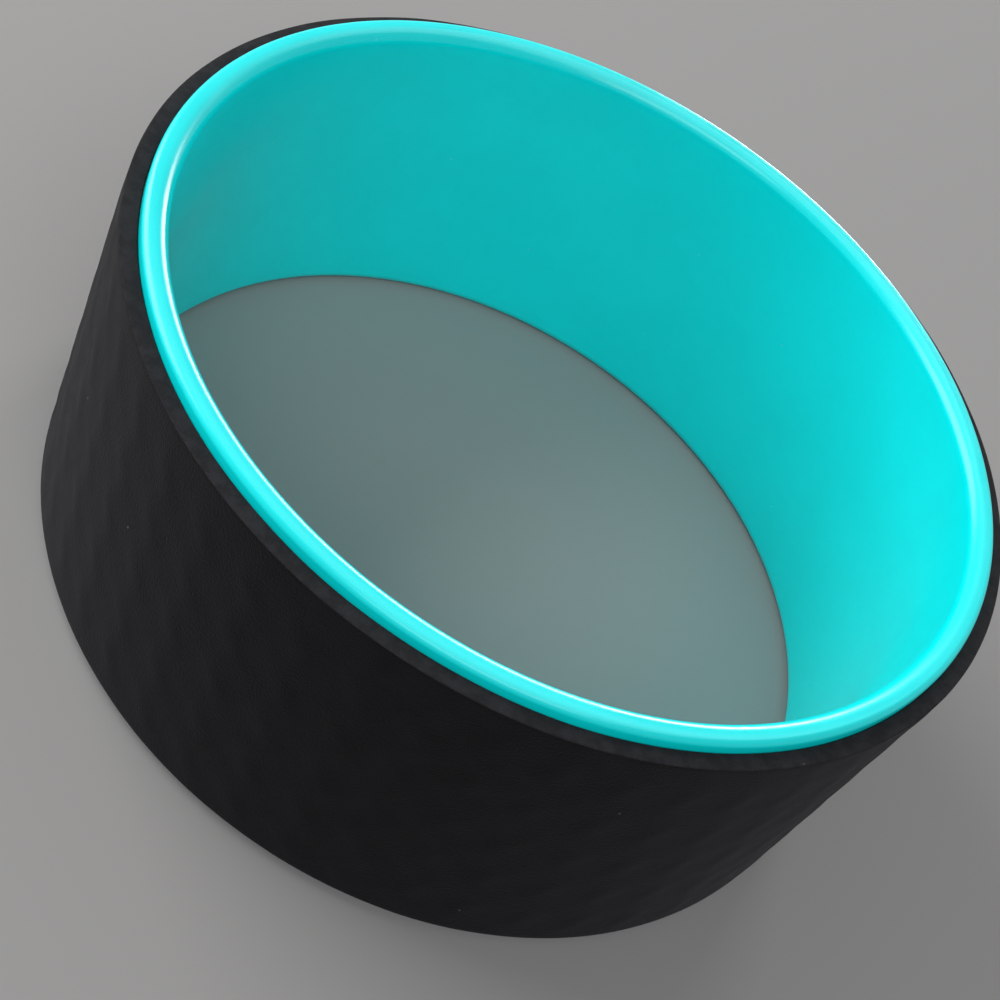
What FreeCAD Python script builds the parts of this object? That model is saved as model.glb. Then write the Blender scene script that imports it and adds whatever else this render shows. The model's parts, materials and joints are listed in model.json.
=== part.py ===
"""A yoga wheel lying on one rim: a rigid plastic hoop with a strip of foam bonded round it.

Millimetres. The wheel's axis is Z, and the origin is the centre of the circle that it lies on.
"""

import FreeCAD, Part
import math
import os

# Driving dimensions

WHEEL_DIAMETER = 330.0  # over the pad
HOOP_WIDTH = 130.0  # from rim to rim
HOOP_WALL = 9.0
RIM_OUTER_ROUND = 2.5
RIM_INNER_ROUND = 5.0  # wider, where hands reach in

PAD_THICKNESS = 6.0
RIM_STAND = 5.0  # how far each rim stands clear of the pad's cut edge
PAD_EDGE_ROUND = 0.6  # foam edges that the knife left slightly soft

BOND_THICKNESS = 0.2  # adhesive between the hoop and the pad
BOND_SET_BACK = 2.0  # bare strip between the adhesive and the pad's edges
SEAM_WIDTH = 0.3  # glue line between the two ends of the pad
SEAM_SET_BACK = 0.4  # how far the glue stays below the pad's surfaces

# A round takes at most this share of the wall that it is cut on, so that some flat is left between two rounds
INNER_ROUND_LIMIT_SHARE = 0.6
OUTER_ROUND_LIMIT_SHARE = 0.3

SWEEPS = 4  # a ring is swept in this many equal steps, so that no face closes on itself

# Places that follow from the driving dimensions

pad_outer_radius = WHEEL_DIAMETER / 2
pad_inner_radius = pad_outer_radius - PAD_THICKNESS
hoop_outer_radius = pad_inner_radius - BOND_THICKNESS
hoop_inner_radius = hoop_outer_radius - HOOP_WALL
pad_bottom = RIM_STAND
pad_top = HOOP_WIDTH - RIM_STAND

# The seam is on the +Y side. Its glue line fills the angle that the pad leaves open
seam_direction = 90.0
pad_middle_radius = (pad_inner_radius + pad_outer_radius) / 2
seam_angle = math.degrees(SEAM_WIDTH / pad_middle_radius)
full_turn = 360.0

CENTRE = FreeCAD.Vector(0, 0, 0)
WHEEL_AXIS = FreeCAD.Vector(0, 0, 1)


def quarter_arc(corner_radius, corner_height, inward_radius, inward_height, size):
    """The arc that rounds a corner of a ring's section. The inward values are 1 or -1, towards its middle."""
    centre = FreeCAD.Vector(corner_radius + inward_radius * size, 0, corner_height + inward_height * size)
    reach = size * math.sqrt(0.5)
    on_wall = FreeCAD.Vector(corner_radius, 0, centre.z)
    halfway = centre - FreeCAD.Vector(inward_radius * reach, 0, inward_height * reach)
    on_rim = FreeCAD.Vector(centre.x, 0, corner_height)
    return Part.Arc(on_wall, halfway, on_rim).toShape()


def line(start, end):
    """A straight edge between the nearest ends of two arcs."""
    return Part.LineSegment(start, end).toShape()


def ring_section(inner_radius, outer_radius, bottom, top, inner_round, outer_round):
    """The face that sweeps out a ring about Z: a tall rectangle with four rounded corners."""
    wall = outer_radius - inner_radius
    inner_size = min(inner_round, wall * INNER_ROUND_LIMIT_SHARE)
    outer_size = min(outer_round, wall * OUTER_ROUND_LIMIT_SHARE)
    inner_low = quarter_arc(inner_radius, bottom, 1, 1, inner_size)
    outer_low = quarter_arc(outer_radius, bottom, -1, 1, outer_size)
    outer_high = quarter_arc(outer_radius, top, -1, -1, outer_size)
    inner_high = quarter_arc(inner_radius, top, 1, -1, inner_size)
    edges = [
        inner_low,
        line(inner_low.lastVertex().Point, outer_low.lastVertex().Point),
        outer_low,
        line(outer_low.firstVertex().Point, outer_high.firstVertex().Point),
        outer_high,
        line(outer_high.lastVertex().Point, inner_high.lastVertex().Point),
        inner_high,
        line(inner_high.firstVertex().Point, inner_low.firstVertex().Point),
    ]
    return Part.Face(Part.Wire(Part.__sortEdges__(edges)))


def swept_ring(section, start_angle, angle):
    """The solid that a section sweeps about the wheel's axis: equal sweeps joined end to end."""
    step = angle / SWEEPS
    sweeps = []
    for number in range(SWEEPS):
        start = section.copy()
        start.rotate(CENTRE, WHEEL_AXIS, start_angle + number * step)
        sweeps.append(start.revolve(CENTRE, WHEEL_AXIS, step))
    return sweeps[0].fuse(sweeps[1:]).Solids[0]


def make_hoop():
    """The plastic ring, with both rims rounded inside and outside and a narrow flat left between."""
    section = ring_section(
        hoop_inner_radius, hoop_outer_radius, 0, HOOP_WIDTH, RIM_INNER_ROUND, RIM_OUTER_ROUND
    )
    return swept_ring(section, seam_direction, full_turn)


def make_pad():
    """The foam strip, wrapped once round the hoop. Its two ends face each other across the seam."""
    section = ring_section(
        pad_inner_radius, pad_outer_radius, pad_bottom, pad_top, PAD_EDGE_ROUND, PAD_EDGE_ROUND
    )
    return swept_ring(section, seam_direction + seam_angle / 2, full_turn - seam_angle)


def make_seam_bond():
    """The glue line between the pad's two ends, scraped a little below the foam's faces."""
    section = ring_section(
        pad_inner_radius,
        pad_outer_radius - SEAM_SET_BACK,
        pad_bottom + SEAM_SET_BACK,
        pad_top - SEAM_SET_BACK,
        PAD_EDGE_ROUND,
        PAD_EDGE_ROUND,
    )
    section.rotate(CENTRE, WHEEL_AXIS, seam_direction - seam_angle / 2)
    return section.revolve(CENTRE, WHEEL_AXIS, seam_angle)


def make_bond_film():
    """The thin coat of adhesive on the hoop, kept back from the pad's edges so that none squeezes out."""
    film_bottom = pad_bottom + BOND_SET_BACK
    film_top = pad_top - BOND_SET_BACK
    corners = [
        FreeCAD.Vector(hoop_outer_radius, 0, film_bottom),
        FreeCAD.Vector(pad_inner_radius, 0, film_bottom),
        FreeCAD.Vector(pad_inner_radius, 0, film_top),
        FreeCAD.Vector(hoop_outer_radius, 0, film_top),
    ]
    section = Part.Face(Part.makePolygon(corners + corners[:1]))
    return swept_ring(section, seam_direction, full_turn)


os.makedirs("parts", exist_ok=True)
make_hoop().exportStep("parts/hoop.step")
make_pad().exportStep("parts/pad.step")
make_bond_film().exportStep("parts/bond_film.step")
make_seam_bond().exportStep("parts/seam_bond.step")
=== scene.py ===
# %% [markdown]
# # A yoga wheel, dressed in Blender
#
# A yoga wheel is a short length of thick plastic tube with a strip of foam wrapped round it. The packed
# CAD model already has every piece at its real size and place. This lesson keeps that model as a fixed
# frame and gives each piece its finished surface: a satin turquoise hoop, a black foam pad with low
# embossed waves and a trimmed edge, and the adhesive that holds them together.

import json
import math

import bmesh
import bpy
from mathutils import Matrix, Vector, noise


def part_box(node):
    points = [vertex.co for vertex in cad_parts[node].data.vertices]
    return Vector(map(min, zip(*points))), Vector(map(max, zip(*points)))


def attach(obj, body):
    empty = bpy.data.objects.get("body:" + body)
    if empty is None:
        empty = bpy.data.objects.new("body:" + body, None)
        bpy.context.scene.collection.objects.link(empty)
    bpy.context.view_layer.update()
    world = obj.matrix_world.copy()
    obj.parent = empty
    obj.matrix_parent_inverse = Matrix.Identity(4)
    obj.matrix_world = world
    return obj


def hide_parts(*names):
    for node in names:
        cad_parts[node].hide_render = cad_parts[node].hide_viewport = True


PRINT_DIGITS = 4


def rounded(values):
    """Short numbers for printing."""
    return [round(value, PRINT_DIGITS) for value in values]


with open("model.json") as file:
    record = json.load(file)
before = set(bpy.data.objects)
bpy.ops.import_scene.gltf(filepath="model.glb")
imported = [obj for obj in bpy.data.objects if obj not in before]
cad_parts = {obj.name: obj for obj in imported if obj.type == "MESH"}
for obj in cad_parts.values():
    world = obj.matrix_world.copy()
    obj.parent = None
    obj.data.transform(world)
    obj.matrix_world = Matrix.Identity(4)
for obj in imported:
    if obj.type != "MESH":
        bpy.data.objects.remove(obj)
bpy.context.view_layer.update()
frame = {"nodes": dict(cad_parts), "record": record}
print("CAD nodes:", sorted(frame["nodes"]))

# %% [markdown]
# ## Sizes
#
# Nothing is measured twice. The rings take their radii and heights from the boxes of the CAD nodes, and
# the hoop's inside radius comes from the bore that the record states. A ring that is centred on Z has its
# outer radius as the highest x of its box. Only sizes that the frame can't tell, such as the outer round
# of a rim, are written here. Blender works in metres, so a size in millimetres is multiplied by MM.

# %% Read the sizes of the wheel
MM = 0.001
RIM_OUTER_ROUND = 2.5 * MM

bore = next(mount for mount in frame["record"]["mounts"] if mount["kind"] == "bore")
hoop_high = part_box("hoop")[1]
film_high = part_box("bond_film")[1]
pad_low, pad_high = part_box("pad")

hoop_width = hoop_high.z
hoop_outer_radius = hoop_high.x
hoop_inner_radius = bore["dims"]["r_mm"] * MM
rim_inner_round = (hoop_width - bore["dims"]["length_mm"] * MM) / 2
pad_outer_radius = pad_high.x
pad_inner_radius = film_high.x
pad_bottom = pad_low.z
pad_top = pad_high.z
print("hoop radii:", rounded((hoop_inner_radius, hoop_outer_radius)))
print("rim rounds:", rounded((rim_inner_round, RIM_OUTER_ROUND)))
print("pad radii:", rounded((pad_inner_radius, pad_outer_radius)))

# %% [markdown]
# ## Camera
#
# The photograph looks down on the wheel from close by, with the camera held at a slant. Its place was
# worked out from the edges of the rim and the pad: how far back and how high the camera stands, and how it
# is turned. The turn could be three Euler angles, but their order is hard to picture. It is easier to read
# as three plain steps, each a rotation matrix: tip the camera down, swing it sideways, then roll it about
# its own line of sight. The frame is slightly off the lens axis, so a small vertical shift goes with it.

# %% Place the camera
CAMERA_BACK = 0.4572
CAMERA_HEIGHT = 0.4728
CAMERA_SWING = math.radians(4.85)
CAMERA_TIP = math.radians(48.17)
CAMERA_ROLL = math.radians(37.24)
CAMERA_LENS_MM = 59.18
CAMERA_SENSOR_MM = 36.0
CAMERA_SHIFT_UP_SHARE = 0.167
CAMERA_NEAREST = 10 * MM

camera_data = bpy.data.cameras.new("camera")
camera_data.sensor_width = CAMERA_SENSOR_MM
camera_data.lens = CAMERA_LENS_MM
camera_data.shift_y = CAMERA_SHIFT_UP_SHARE
camera_data.clip_start = CAMERA_NEAREST
camera = bpy.data.objects.new("camera", camera_data)
stand = Matrix.Translation((0, -CAMERA_BACK, CAMERA_HEIGHT))
swing = Matrix.Rotation(-CAMERA_SWING, 4, "Z")
tip_down = Matrix.Rotation(math.pi / 2 - CAMERA_TIP, 4, "X")
roll = Matrix.Rotation(CAMERA_ROLL, 4, "Z")
camera.matrix_world = stand @ swing @ tip_down @ roll
bpy.context.scene.collection.objects.link(camera)
bpy.context.scene.camera = camera
bpy.context.scene.view_settings.view_transform = "Standard"
print("camera at", rounded(camera.matrix_world.translation), "lens", CAMERA_LENS_MM, "mm")

# %% [markdown]
# ## Node helpers
#
# A material is a small graph of nodes. It can be drawn by hand in the Shader Editor, but code gives the
# same graph every time. Three helpers keep the graphs short to read: one adds a node and sets its
# properties, one sets inputs that are the same all over a surface, and one joins an output to an input. A
# fourth starts a material that already holds a Principled BSDF and the object's own coordinates, which
# every pattern here follows, so that no pattern slides when the camera moves.

# %% Helpers that build a graph
def add_node(tree, kind, **settings):
    """A new node of that kind in the tree, with its own properties set."""
    made = tree.nodes.new(kind)
    for name, value in settings.items():
        setattr(made, name, value)
    return made


def set_inputs(node, values):
    """Sets inputs of a node, given as a dictionary of socket names."""
    for name, value in values.items():
        node.inputs[name].default_value = value


def join(tree, source, output, target, entry):
    """Links an output of one node to an input of another."""
    tree.links.new(source.outputs[output], target.inputs[entry])


def start_material(name):
    """A material with a Principled BSDF: returns it with its tree, its shader and its coordinates node."""
    material = bpy.data.materials.new(name)
    material.use_nodes = True
    tree = material.node_tree
    tree.nodes.clear()
    shader = add_node(tree, "ShaderNodeBsdfPrincipled")
    output = add_node(tree, "ShaderNodeOutputMaterial")
    join(tree, shader, "BSDF", output, "Surface")
    place = add_node(tree, "ShaderNodeTexCoord")
    return material, tree, shader, place


print("graph helpers ready")

# %% [markdown]
# ## Turning masks into values
#
# A mask is a value from 0 to 1 that changes over a surface. Two more helpers use it: one turns it into a
# range of values, such as a roughness, and one mixes two colours by it. A Color Ramp node could do both,
# but then the end values would be hidden in its stops.

# %% Helpers that use a mask
OPAQUE = 1.0


def ramp_value(tree, source, output, low, high):
    """Turns a mask into a value from low to high."""
    scaled = add_node(tree, "ShaderNodeMapRange")
    set_inputs(scaled, {"To Min": low, "To Max": high})
    join(tree, source, output, scaled, "Value")
    return scaled


def mix_colours(tree, source, output, first, second):
    """Mixes two colours by a mask. A colour may also be the output of an earlier mix."""
    mix = add_node(tree, "ShaderNodeMix", data_type="RGBA")
    join(tree, source, output, mix, "Factor")
    for side, colour in (("A", first), ("B", second)):
        socket = next(found for found in mix.inputs if found.name == side and found.type == "RGBA")
        if isinstance(colour, bpy.types.NodeSocket):
            tree.links.new(colour, socket)
        else:
            socket.default_value = (*colour, OPAQUE)
    return next(found for found in mix.outputs if found.type == "RGBA")


print("mask helpers ready")

# %% [markdown]
# ## Marks that all finishes share
#
# Handled surfaces are never quite even. Soft clouds of wear make some patches a little lighter or duller,
# and a few specks of dust catch the light. They could be painted on an image, but then they would blur
# close up. The plastic, the foam and the adhesive all have them at their own sizes, so they are one node
# group. Clouds come from a noise texture. Specks come from a Voronoi texture: each cell has a random
# colour, which picks the few cells that hold a speck, and the distance to the cell's centre draws it.

# %% Group of clouds and specks
CLOUD_NOISE = {"Detail": 3.0, "Roughness": 0.55}
CLOUD_SPREAD_SHARES = {"From Min": 0.34, "From Max": 0.66}


def group_socket(group, name, direction, kind="NodeSocketFloat"):
    """Adds a named socket to a node group."""
    group.interface.new_socket(name=name, in_out=direction, socket_type=kind)


def add_clouds(group, entry, leave):
    """Soft patches, spread from 0 to 1."""
    cloud = add_node(group, "ShaderNodeTexNoise")
    set_inputs(cloud, CLOUD_NOISE)
    join(group, entry, "Place", cloud, "Vector")
    join(group, entry, "Cloud scale", cloud, "Scale")
    spread = add_node(group, "ShaderNodeMapRange", interpolation_type="SMOOTHSTEP")
    set_inputs(spread, CLOUD_SPREAD_SHARES)
    join(group, cloud, "Fac", spread, "Value")
    join(group, spread, "Result", leave, "Clouds")


def add_specks(group, entry, leave):
    """Small round specks in a share of the cells of a Voronoi texture."""
    cells = add_node(group, "ShaderNodeTexVoronoi")
    join(group, entry, "Place", cells, "Vector")
    join(group, entry, "Speck scale", cells, "Scale")
    lot = add_node(group, "ShaderNodeSeparateColor")
    join(group, cells, "Color", lot, "Color")
    chosen = add_node(group, "ShaderNodeMath", operation="LESS_THAN")
    join(group, lot, "Red", chosen, 0)
    join(group, entry, "Speck share", chosen, 1)
    near = add_node(group, "ShaderNodeMath", operation="LESS_THAN")
    join(group, cells, "Distance", near, 0)
    join(group, entry, "Speck radius", near, 1)
    speck = add_node(group, "ShaderNodeMath", operation="MULTIPLY")
    join(group, chosen, "Value", speck, 0)
    join(group, near, "Value", speck, 1)
    join(group, speck, "Value", leave, "Specks")


def make_marks_group():
    """Node group that gives soft clouds and small specks, each as a mask."""
    group = bpy.data.node_groups.new("handling_marks", "ShaderNodeTree")
    group_socket(group, "Place", "INPUT", "NodeSocketVector")
    for name in ("Cloud scale", "Speck scale", "Speck radius", "Speck share"):
        group_socket(group, name, "INPUT")
    group_socket(group, "Clouds", "OUTPUT")
    group_socket(group, "Specks", "OUTPUT")
    entry = add_node(group, "NodeGroupInput")
    leave = add_node(group, "NodeGroupOutput")
    add_clouds(group, entry, leave)
    add_specks(group, entry, leave)
    return group


marks_group = make_marks_group()
print("node group", marks_group.name, "has", len(marks_group.nodes), "nodes")

# %% [markdown]
# ## Grain that the plastic and the foam share
#
# The foam sheet left its press with a fine leathery emboss, and the plastic has a very faint unevenness
# from its mould. Seen closely both are small rounded cells with creases between them. Modelling them would
# take millions of faces, so they are a bump. Its height is a noise less the distance to the centre of a
# Voronoi cell. One group serves them all, each with its own scale and bump.

# %% Group of fine grain
GRAIN_NOISE = {"Detail": 2.0}
GRAIN_CELLS = {"Smoothness": 0.6}


def make_grain_group():
    """Node group that gives the height of a grain of small rounded cells."""
    group = bpy.data.node_groups.new("fine_grain", "ShaderNodeTree")
    group_socket(group, "Place", "INPUT", "NodeSocketVector")
    group_socket(group, "Scale", "INPUT")
    group_socket(group, "Height", "OUTPUT")
    entry = add_node(group, "NodeGroupInput")
    leave = add_node(group, "NodeGroupOutput")

    bend = add_node(group, "ShaderNodeTexNoise")
    set_inputs(bend, GRAIN_NOISE)
    join(group, entry, "Place", bend, "Vector")
    join(group, entry, "Scale", bend, "Scale")
    cells = add_node(group, "ShaderNodeTexVoronoi", feature="SMOOTH_F1")
    set_inputs(cells, GRAIN_CELLS)
    join(group, entry, "Place", cells, "Vector")
    join(group, entry, "Scale", cells, "Scale")
    crown = add_node(group, "ShaderNodeMath", operation="SUBTRACT")
    join(group, bend, "Fac", crown, 0)
    join(group, cells, "Distance", crown, 1)
    join(group, crown, "Value", leave, "Height")
    return group


grain_group = make_grain_group()
print("node group", grain_group.name, "has", len(grain_group.nodes), "nodes")

# %% [markdown]
# ## Placing a group in a material
#
# A group is placed with a group node, and the node's inputs then hold the values of this one material. The
# grain always ends in a Bump node that feeds the shader's normal, so a second helper does both. A third
# paints a body colour: clouds between a deep and a pale tone, and specks of dust on top.

# %% Helpers that place groups
def place_group(tree, group, place, values):
    """Puts a node group into a material, fed by the object's coordinates and with its own values."""
    made = add_node(tree, "ShaderNodeGroup", node_tree=group)
    join(tree, place, "Object", made, "Place")
    set_inputs(made, values)
    return made


def add_grain(tree, shader, place, cells_per_metre, bump_values):
    """Bumps a shader with the grain."""
    grain = place_group(tree, grain_group, place, {"Scale": cells_per_metre})
    bump = add_node(tree, "ShaderNodeBump")
    set_inputs(bump, bump_values)
    join(tree, grain, "Height", bump, "Height")
    join(tree, bump, "Normal", shader, "Normal")


def paint_body(tree, shader, marks, deep, pale, dust):
    """Colours a shader with clouds between two tones, and with specks of dust."""
    body = mix_colours(tree, marks, "Clouds", deep, pale)
    dusty = mix_colours(tree, marks, "Specks", body, dust)
    tree.links.new(dusty, shader.inputs["Base Color"])


print("group helpers ready")

# %% [markdown]
# ## Satin turquoise plastic
#
# The hoop is coloured through, so wear never shows another colour underneath: it only dulls the gloss. The
# base colour stays almost even, with slightly deeper clouds. A clear coat could give the shine, but a
# moulded wall has none, so the roughness carries the look: it decides how wide the highlights on the rim's
# rounds are.

# %% Material of the hoop
PLASTIC_DEEP = (0.0, 0.730, 0.745)
PLASTIC_PALE = (0.0, 0.755, 0.770)
PLASTIC_DUST = (0.30, 0.72, 0.70)
PLASTIC_MARKS = {"Cloud scale": 24.0, "Speck scale": 160.0, "Speck radius": 0.035, "Speck share": 0.12}
PLASTIC_ROUGHNESS_RANGE = (0.20, 0.265)
PLASTIC_GRAIN_PER_METRE = 900.0
PLASTIC_BUMP = {"Strength": 0.05, "Distance": 0.2 * MM}
PLASTIC_EVEN = {"IOR": 1.5, "Specular IOR Level": 0.35}


def make_hoop_plastic():
    """Moulded turquoise plastic with a satin gloss, a faint mould texture and light handling wear."""
    material, tree, shader, place = start_material("turquoise_plastic")
    marks = place_group(tree, marks_group, place, PLASTIC_MARKS)
    paint_body(tree, shader, marks, PLASTIC_DEEP, PLASTIC_PALE, PLASTIC_DUST)
    gloss = ramp_value(tree, marks, "Clouds", *PLASTIC_ROUGHNESS_RANGE)
    join(tree, gloss, "Result", shader, "Roughness")
    add_grain(tree, shader, place, PLASTIC_GRAIN_PER_METRE, PLASTIC_BUMP)
    set_inputs(shader, PLASTIC_EVEN)
    return material


hoop_plastic = make_hoop_plastic()
print("material", hoop_plastic.name, "has", len(hoop_plastic.node_tree.nodes), "nodes")

# %% [markdown]
# ## Black foam skin
#
# The pad's face is a pressed skin: almost black, matte, with the leathery grain. Where light grazes it, it
# turns grey. A lighter base colour would grey the whole pad, so the shader's sheen does it instead,
# because sheen shows mostly at a flat angle.

# %% Material of the pad's face
SKIN_DEEP = (0.0030, 0.0030, 0.0034)
SKIN_PALE = (0.0045, 0.0045, 0.0051)
SKIN_DUST = (0.12, 0.12, 0.118)
SKIN_MARKS = {"Cloud scale": 95.0, "Speck scale": 110.0, "Speck radius": 0.04, "Speck share": 0.10}
SKIN_ROUGHNESS_RANGE = (0.55, 0.66)
SKIN_GRAIN_PER_METRE = 1500.0
SKIN_BUMP = {"Strength": 0.35, "Distance": 0.4 * MM}
SKIN_EVEN = {
    "IOR": 1.45,
    "Specular IOR Level": 0.03,
    "Sheen Weight": 0.047,
    "Sheen Roughness": 0.6,
    "Sheen Tint": (0.93, 0.95, 1.0, OPAQUE),
}


def make_foam_skin():
    """Pressed black foam skin with a leathery grain and dusty clouds."""
    material, tree, shader, place = start_material("black_foam_skin")
    marks = place_group(tree, marks_group, place, SKIN_MARKS)
    paint_body(tree, shader, marks, SKIN_DEEP, SKIN_PALE, SKIN_DUST)
    gloss = ramp_value(tree, marks, "Clouds", *SKIN_ROUGHNESS_RANGE)
    join(tree, gloss, "Result", shader, "Roughness")
    add_grain(tree, shader, place, SKIN_GRAIN_PER_METRE, SKIN_BUMP)
    set_inputs(shader, SKIN_EVEN)
    return material


foam_skin = make_foam_skin()
print("material", foam_skin.name, "has", len(foam_skin.node_tree.nodes), "nodes")

# %% [markdown]
# ## Cut foam
#
# The trimmed edge of the pad shows the open cells of the foam. A mask could fade one material into the
# other, but a knife leaves a clear border, so the cut is a second material: a little lighter, rougher, and
# with a finer grain.

# %% Material of the pad's cut edges
CUT_DEEP = (0.018, 0.018, 0.0198)
CUT_PALE = (0.026, 0.026, 0.0284)
CUT_DUST = (0.10, 0.10, 0.098)
CUT_MARKS = {"Cloud scale": 260.0, "Speck scale": 200.0, "Speck radius": 0.06, "Speck share": 0.08}
CUT_GRAIN_PER_METRE = 2600.0
CUT_BUMP = {"Strength": 0.5, "Distance": 0.4 * MM}
CUT_EVEN = {"Roughness": 0.9, "IOR": 1.45, "Specular IOR Level": 0.05}


def make_foam_cut():
    """Cut foam: open cells along the trimmed edges and the seam."""
    material, tree, shader, place = start_material("black_foam_cut")
    marks = place_group(tree, marks_group, place, CUT_MARKS)
    paint_body(tree, shader, marks, CUT_DEEP, CUT_PALE, CUT_DUST)
    add_grain(tree, shader, place, CUT_GRAIN_PER_METRE, CUT_BUMP)
    set_inputs(shader, CUT_EVEN)
    return material


foam_cut = make_foam_cut()
print("material", foam_cut.name, "has", len(foam_cut.node_tree.nodes), "nodes")

# %% [markdown]
# ## Adhesive
#
# Contact adhesive dries to an amber film with a slight gloss. It is hidden between hoop and pad, and shows
# only as a thin line deep in the pad's seam, where black foam dust has darkened it. One function makes
# both tones. The film could be modelled again here, but the CAD solids already have the right shape, so
# they stay and only get these materials.

# %% Materials of the adhesive
FILM_THIN = (0.34, 0.25, 0.11)
FILM_THICK = (0.20, 0.13, 0.05)
SEAM_THIN = (0.030, 0.024, 0.016)
SEAM_THICK = (0.016, 0.014, 0.011)
ADHESIVE_MARKS = {"Cloud scale": 180.0, "Speck scale": 300.0, "Speck radius": 0.1, "Speck share": 0.2}
ADHESIVE_ROUGHNESS_RANGE = (0.35, 0.55)


def make_adhesive(name, thin_colour, thick_colour):
    """Cured contact adhesive, unevenly brushed on: one colour where it is thin and one where it is thick."""
    material, tree, shader, place = start_material(name)
    marks = place_group(tree, marks_group, place, ADHESIVE_MARKS)
    body = mix_colours(tree, marks, "Clouds", thick_colour, thin_colour)
    tree.links.new(body, shader.inputs["Base Color"])
    gloss = ramp_value(tree, marks, "Clouds", *ADHESIVE_ROUGHNESS_RANGE)
    join(tree, gloss, "Result", shader, "Roughness")
    return material


adhesives = {
    "bond_film": make_adhesive("cured_adhesive", FILM_THIN, FILM_THICK),
    "seam_bond": make_adhesive("dusty_adhesive", SEAM_THIN, SEAM_THICK),
}
for node_name, adhesive in adhesives.items():
    node = frame["nodes"][node_name]
    node.data.materials.clear()
    node.data.materials.append(adhesive)
    print("material", adhesive.name, "on", node_name)

# %% [markdown]
# ## The section of a ring
#
# Hoop and pad are both rings, and a ring is a section swept round an axis, as a lathe would cut it. The
# section starts as one four-cornered face. Its points could be worked out with sines and cosines, but
# operators do it: beveling its corner vertices rounds them, deleting the face leaves its outline, and
# cutting the long sides gives the walls enough rows of vertices to be shaped later.

# %% Helper for sections
ROUND_PROFILE = 0.5


def ring_section(inner_radius, outer_radius, bottom, top, inner_round, outer_round, corner_steps, wall_rows):
    """A bmesh that holds a ring's section in the XZ plane: a closed outline with rounded corners."""
    section = bmesh.new()
    places = ((inner_radius, bottom), (outer_radius, bottom), (outer_radius, top), (inner_radius, top))
    corners = [section.verts.new((radius, 0, height)) for radius, height in places]
    section.faces.new(corners)
    inner_low, outer_low, outer_high, inner_high = corners
    inner_pair = (inner_low, inner_high)
    outer_pair = (outer_low, outer_high)
    for pair, corner_round in ((inner_pair, inner_round), (outer_pair, outer_round)):
        bmesh.ops.bevel(
            section,
            geom=pair,
            offset=corner_round,
            offset_type="OFFSET",
            affect="VERTICES",
            segments=corner_steps,
            profile=ROUND_PROFILE,
            material=-1,
        )
    bmesh.ops.delete(section, geom=section.faces[:], context="FACES_ONLY")
    walls = [edge for edge in section.edges if edge.calc_length() > (top - bottom) / 2]
    bmesh.ops.subdivide_edges(section, edges=walls, cuts=wall_rows - 1)
    return section


print("section helper ready")

# %% [markdown]
# ## Sweeping a ring
#
# Spinning a fine section all the way round in one go is slow, because every step has to walk through
# everything that was made before. It is quicker to spin one slice and then to spin copies of the slice.
# Merging the doubled vertices afterwards joins the slices without a trace. The finished bmesh then becomes
# an object at the origin, with its normals turned outwards and its faces shaded smooth.

# %% Helpers for rings
AXIS = (0, 0, 1)
CENTRE = (0, 0, 0)
MERGE_DISTANCE = 0.001 * MM


def sweep_ring(section, angle, slices, slice_steps):
    """Sweeps a section about Z in slices. A full turn closes when the doubles are merged."""
    slice_angle = angle / slices
    outline = section.verts[:] + section.edges[:]
    bmesh.ops.spin(section, geom=outline, cent=CENTRE, axis=AXIS, angle=slice_angle, steps=slice_steps)
    first_slice = section.verts[:] + section.edges[:] + section.faces[:]
    bmesh.ops.spin(
        section,
        geom=first_slice,
        cent=CENTRE,
        axis=AXIS,
        angle=angle - slice_angle,
        steps=slices - 1,
        use_duplicate=True,
    )
    bmesh.ops.remove_doubles(section, verts=section.verts[:], dist=MERGE_DISTANCE)


def make_piece(name, solid, materials):
    """Turns a bmesh into a smooth-shaded object at the origin and lets go of the bmesh."""
    bmesh.ops.remove_doubles(solid, verts=solid.verts[:], dist=MERGE_DISTANCE)
    bmesh.ops.recalc_face_normals(solid, faces=solid.faces[:])
    for face in solid.faces:
        face.smooth = True
    mesh = bpy.data.meshes.new(name)
    solid.to_mesh(mesh)
    solid.free()
    for material in materials:
        mesh.materials.append(material)
    piece = bpy.data.objects.new(name, mesh)
    bpy.context.scene.collection.objects.link(piece)
    return piece


print("ring helpers ready")

# %% [markdown]
# ## The hoop
#
# The real hoop is one thick moulded ring. The CAD hoop has its shape and could simply get a material, but
# its mesh is made for measuring. A fine spin of the same section gives clean, even highlights along the
# rim. The wall then gets a very slight unevenness, a few hundredths of a millimetre, as thick moulded
# walls have when they cool: it keeps the long reflections from looking drawn with a ruler.

# %% Model the hoop
FULL_TURN = 2 * math.pi
HOOP_SLICES = 8
HOOP_SLICE_STEPS = 40
HOOP_CORNER_STEPS = 10
HOOP_WALL_ROWS = 24
HOOP_SINK = 0.05 * MM
HOOP_SINK_SPAN = 45 * MM


def radial(point):
    """The unit vector that points from the wheel's axis to a point."""
    return Vector((point.x, point.y, 0)).normalized()


hoop_solid = ring_section(
    inner_radius=hoop_inner_radius,
    outer_radius=hoop_outer_radius,
    bottom=0,
    top=hoop_width,
    inner_round=rim_inner_round,
    outer_round=RIM_OUTER_ROUND,
    corner_steps=HOOP_CORNER_STEPS,
    wall_rows=HOOP_WALL_ROWS,
)
sweep_ring(hoop_solid, FULL_TURN, HOOP_SLICES, HOOP_SLICE_STEPS)
for vertex in hoop_solid.verts:
    vertex.co += radial(vertex.co) * noise.noise(vertex.co / HOOP_SINK_SPAN) * HOOP_SINK
hoop = make_piece("hoop_ring", hoop_solid, [hoop_plastic])
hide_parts("hoop")
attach(hoop, "root")
print("hoop:", len(hoop.data.polygons), "faces")

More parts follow.
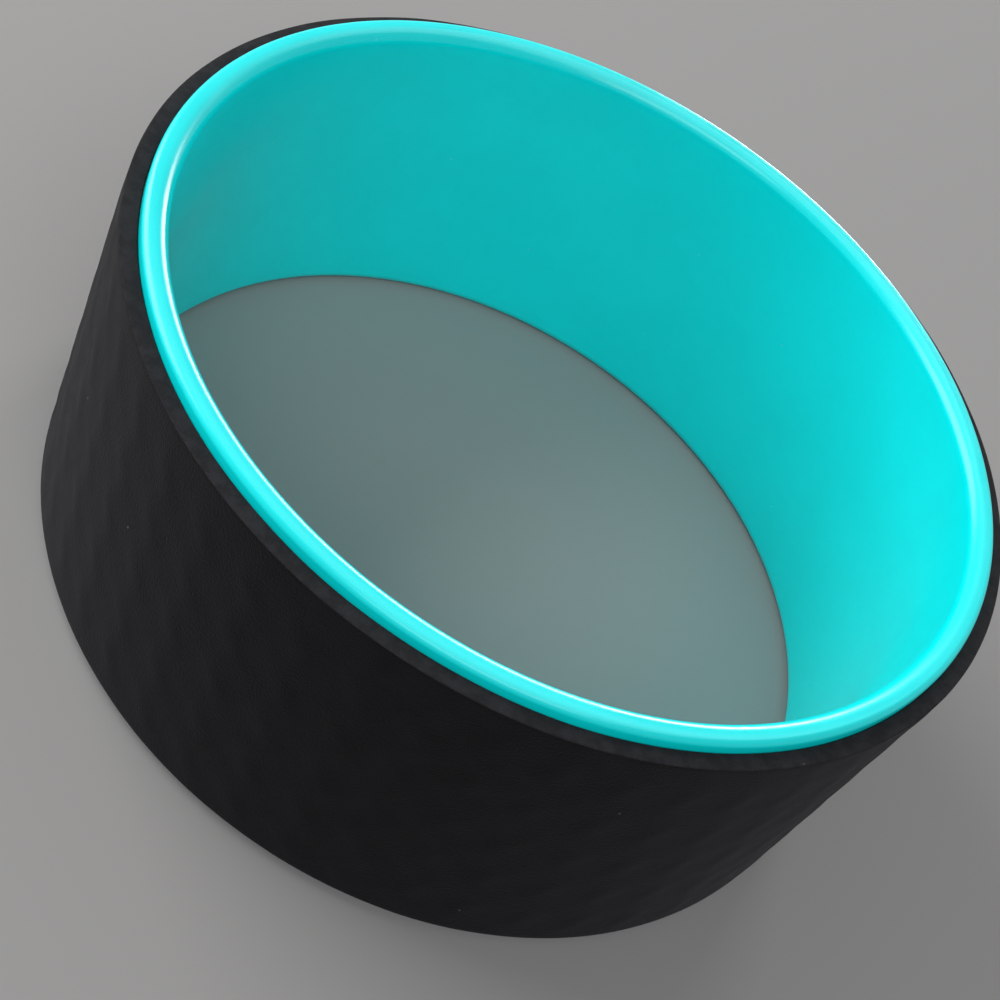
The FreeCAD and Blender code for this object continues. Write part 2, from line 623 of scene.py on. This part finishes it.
# %% [markdown]
# ## The pad
#
# The real pad is a strip of sheet foam, cut to length and glued on under a light pull, so that its two
# ends meet in a butt seam at the back. A cloth simulation would change nothing, because the strip lies
# flat on the hoop. It is therefore spun almost all the way round, and each open end is closed with one
# face whose border is softened by a bevel.

# %% Model the pad's strip
PAD_SLICES = 8
PAD_SLICE_STEPS = 65
PAD_EDGE_ROUND = 0.6 * MM
PAD_CORNER_STEPS = 4
PAD_WALL_ROWS = 60
SEAM_DIRECTION = math.pi / 2
SEAM_ROUND = 0.5 * MM
SEAM_ROUND_STEPS = 3

seam_low, seam_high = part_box("seam_bond")
seam_angle = (seam_high.x - seam_low.x) / pad_outer_radius
pad_solid = ring_section(
    inner_radius=pad_inner_radius,
    outer_radius=pad_outer_radius,
    bottom=pad_bottom,
    top=pad_top,
    inner_round=PAD_EDGE_ROUND,
    outer_round=PAD_EDGE_ROUND,
    corner_steps=PAD_CORNER_STEPS,
    wall_rows=PAD_WALL_ROWS,
)
strip_start = Matrix.Rotation(SEAM_DIRECTION + seam_angle / 2, 3, "Z")
bmesh.ops.rotate(pad_solid, verts=pad_solid.verts[:], cent=CENTRE, matrix=strip_start)
sweep_ring(pad_solid, FULL_TURN - seam_angle, PAD_SLICES, PAD_SLICE_STEPS)
open_ends = [edge for edge in pad_solid.edges if edge.is_boundary]
caps = bmesh.ops.edgeloop_fill(pad_solid, edges=open_ends)["faces"]
bmesh.ops.bevel(
    pad_solid,
    geom=open_ends,
    offset=SEAM_ROUND,
    offset_type="OFFSET",
    affect="EDGES",
    segments=SEAM_ROUND_STEPS,
    profile=ROUND_PROFILE,
    material=-1,
)
print("pad strip:", len(pad_solid.faces), "faces,", len(caps), "end caps")

# %% [markdown]
# ## Waves on the pad
#
# The foam sheet was embossed with low wavy ribs that run across the strip. They are a third of a
# millimetre high, so they show only where light grazes the pad. A bump map would give the shading but not
# the shape, so the vertices move. Each rib lies on a lattice: a step to the next rib, and a step of one
# wave along a rib. Turning a point of the strip into counts of these two steps makes the rest easy: the
# first count, less the swing of the wave, says how far the point is from a crest. The squared cosine gives
# narrow ribs with wider, flatter valleys between them. Towards both cut edges the ribs fade out, so that
# the outline stays round.

# %% Emboss the waves
WAVE_PITCH = 21.4 * MM
WAVE_LENGTH = 22 * MM
WAVE_SWING = 2.4 * MM
WAVE_HEIGHT = 0.34 * MM
WAVE_FADE = 9 * MM
WAVE_LEAN = math.radians(4.5)
WAVE_ROW_LEAN = math.radians(4)
WAVE_START = math.radians(200)
CREST_START_SHARE = 0.25
SWING_START_SHARE = 0.08

step_across = (WAVE_PITCH * math.cos(WAVE_ROW_LEAN), -WAVE_PITCH * math.sin(WAVE_ROW_LEAN))
step_along = (-WAVE_LENGTH * math.sin(WAVE_LEAN), WAVE_LENGTH * math.cos(WAVE_LEAN))
lattice = Matrix((step_across, step_along)).transposed().inverted()


def wave_height(point):
    """How far the embossed face stands out at a point, from the valley at 0 to a crest."""
    turn = (math.atan2(point.y, point.x) - WAVE_START) % FULL_TURN
    ribs, waves = lattice @ Vector((turn * pad_outer_radius, point.z - pad_top))
    swing_share = WAVE_SWING / WAVE_PITCH * math.sin(FULL_TURN * (waves - SWING_START_SHARE))
    from_crest = FULL_TURN * (ribs - CREST_START_SHARE - swing_share)
    from_edge = min(point.z - pad_bottom, pad_top - point.z)
    pressed_share = min(1.0, max(0.0, from_edge / WAVE_FADE))
    return WAVE_HEIGHT * pressed_share * ((1 + math.cos(from_crest)) / 2) ** 2


pad_middle_radius = (pad_inner_radius + pad_outer_radius) / 2
pad_face = [vertex for vertex in pad_solid.verts if vertex.co.to_2d().length > pad_middle_radius]
wave_mean = sum(wave_height(vertex.co) for vertex in pad_face) / len(pad_face)
for vertex in pad_face:
    vertex.co += radial(vertex.co) * (wave_height(vertex.co) - wave_mean)
print("waves on", len(pad_face), "vertices, mean height", round(wave_mean / MM, PRINT_DIGITS), "mm")

# %% [markdown]
# ## A hand-cut edge
#
# A knife trimmed the strip, so its edges wander by a few tenths of a millimetre, and the squeezed foam
# springs out a little where it was cut. Random jitter on each vertex would look frayed, so smooth noise
# moves the edge, and the move fades out within a few millimetres of it.

# %% Trim the edges
EDGE_WANDER = 0.35 * MM
EDGE_SPRING = 0.35 * MM
EDGE_WANDER_SPAN = 38 * MM
EDGE_REACH = 8 * MM

pad_middle_height = (pad_bottom + pad_top) / 2
half_width = (pad_top - pad_bottom) / 2
for vertex in pad_solid.verts:
    side = 1 if vertex.co.z > pad_middle_height else -1
    from_edge = half_width - abs(vertex.co.z - pad_middle_height)
    edge_share = max(0.0, 1 - from_edge / EDGE_REACH)
    wander_place = radial(vertex.co) * pad_outer_radius / EDGE_WANDER_SPAN + Vector((0, 0, side))
    wander = EDGE_SPRING + noise.noise(wander_place) * EDGE_WANDER
    vertex.co.z += side * wander * edge_share
print("edges wander by", EDGE_WANDER / MM, "mm and spring out by", EDGE_SPRING / MM, "mm")

# %% [markdown]
# ## Finishing the pad
#
# Every face that the knife made gets the material of cut foam. Picking the faces by hand would have to be
# done again after each change, so their normals tell: faces of a trimmed edge look up or down, and the two
# ends at the seam look sideways. The piece then takes the place of the CAD pad.

# %% Finish the pad
TRIMMED_SLOPE_SHARE = 0.3
SEAM_SLOPE_SHARE = 0.9
SEAM_REACH_SHARE = 0.99

pad_materials = [foam_skin, foam_cut]
for face in pad_solid.faces:
    face.normal_update()
    at_seam = face.calc_center_median().y > pad_inner_radius * SEAM_REACH_SHARE
    seam_end = at_seam and abs(face.normal.x) > SEAM_SLOPE_SHARE
    trimmed = abs(face.normal.z) > TRIMMED_SLOPE_SHARE
    face.material_index = pad_materials.index(foam_cut if trimmed or seam_end else foam_skin)
pad = make_piece("pad_strip", pad_solid, pad_materials)
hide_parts("pad")
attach(pad, "root")
print("pad:", len(pad.data.polygons), "faces")

# %% [markdown]
# ## Floor
#
# A plain grey floor takes the place of the room. It is a filled circle with one matte colour. A white
# floor would show the wheel's shadow better, but it would also show in the gloss of the inside wall and
# throw light up at the black pad.

# %% Make the floor
FLOOR_RADIUS = 1.6
FLOOR_SIDES = 96
FLOOR_EVEN = {"Base Color": (0.30, 0.295, 0.29, OPAQUE), "Roughness": 1.0, "Specular IOR Level": 0.0}

floor_shape = bmesh.new()
bmesh.ops.create_circle(floor_shape, cap_ends=True, radius=FLOOR_RADIUS, segments=FLOOR_SIDES)
floor_mesh = bpy.data.meshes.new("floor")
floor_shape.to_mesh(floor_mesh)
floor_shape.free()
floor_paint = bpy.data.materials.new("grey_floor")
floor_paint.use_nodes = True
set_inputs(floor_paint.node_tree.nodes["Principled BSDF"], FLOOR_EVEN)
floor_mesh.materials.append(floor_paint)
floor = bpy.data.objects.new("floor", floor_mesh)
bpy.context.scene.collection.objects.link(floor)
print("floor radius", FLOOR_RADIUS, "m")

# %% [markdown]
# ## Lamps
#
# The photograph's light is soft and comes from windows to the left of the wheel and behind it, and from a
# bright room. Small lamps would leave hard spots on the gloss, so large area lamps stand in, far enough
# away to stay out of every view. The left window makes the right inside wall the brightest, and the window
# behind draws the thin line on the rim's inner round. The white ceiling shows only in gloss: it makes the
# rim paler, and gives the matte surfaces no light.

# %% Hang the lamps
wheel_middle = (0, 0, hoop_width / 2)
below_ceiling = (0, 0.8, 0)
# Places, aims and sizes are in metres.
LAMPS = {
    "ceiling_front": {"place": (0.5, -1.85, 2.05), "aim": wheel_middle, "size": (2.2, 1.4), "watts": 34.0},
    "window_left": {"place": (-2.3, 0.4, 1.25), "aim": wheel_middle, "size": (2.4, 1.8), "watts": 81.0},
    "window_behind": {"place": (0.2, 2.6, 0.65), "aim": wheel_middle, "size": (0.75, 0.9), "watts": 32.0},
    "white_ceiling": {"place": (0, 0.8, 3), "aim": below_ceiling, "size": (4, 4), "watts": 100.0},
}


def add_lamp(name, place, aim, size, watts):
    """A large soft lamp at a place, aimed at a point. Its size is its width and its height."""
    data = bpy.data.lights.new(name, "AREA")
    data.shape = "RECTANGLE"
    data.size, data.size_y = size
    data.energy = watts
    lamp = bpy.data.objects.new(name, data)
    lamp.location = place
    lamp.rotation_euler = (Vector(aim) - Vector(place)).to_track_quat("-Z", "Y").to_euler()
    bpy.context.scene.collection.objects.link(lamp)
    return lamp


lamps = {name: add_lamp(name, **values) for name, values in LAMPS.items()}
lamps["white_ceiling"].visible_diffuse = False
print("lamps:", list(lamps))

# %% [markdown]
# ## Surroundings
#
# The world is what shines in from everywhere else. Seen directly, in gloss or through glass it is a pale
# wall, but its diffuse light stays low, so that the lamps shape the wheel. A backdrop mesh could do the
# same, but it would show its edges in some views. The Light Path node tells the two cases apart.

# %% Colour the world
WORLD_COLOUR = (0.95, 0.97, 1.0, OPAQUE)
WORLD_FILL_SHARE = 0.35
WORLD_SEEN_SHARE = 0.75

world = bpy.data.worlds.new("studio")
bpy.context.scene.world = world
world.use_nodes = True
world_tree = world.node_tree
background = world_tree.nodes["Background"]
set_inputs(background, {"Color": WORLD_COLOUR})
ray = add_node(world_tree, "ShaderNodeLightPath")
seen = add_node(world_tree, "ShaderNodeMath", operation="MAXIMUM")
join(world_tree, ray, "Is Camera Ray", seen, 0)
join(world_tree, ray, "Is Glossy Ray", seen, 1)
seen_or_through = add_node(world_tree, "ShaderNodeMath", operation="MAXIMUM")
join(world_tree, seen, "Value", seen_or_through, 0)
join(world_tree, ray, "Is Transmission Ray", seen_or_through, 1)
strength = ramp_value(world_tree, seen_or_through, "Value", WORLD_FILL_SHARE, WORLD_SEEN_SHARE)
join(world_tree, strength, "Result", background, "Strength")
print("world fill", WORLD_FILL_SHARE, "and seen", WORLD_SEEN_SHARE)
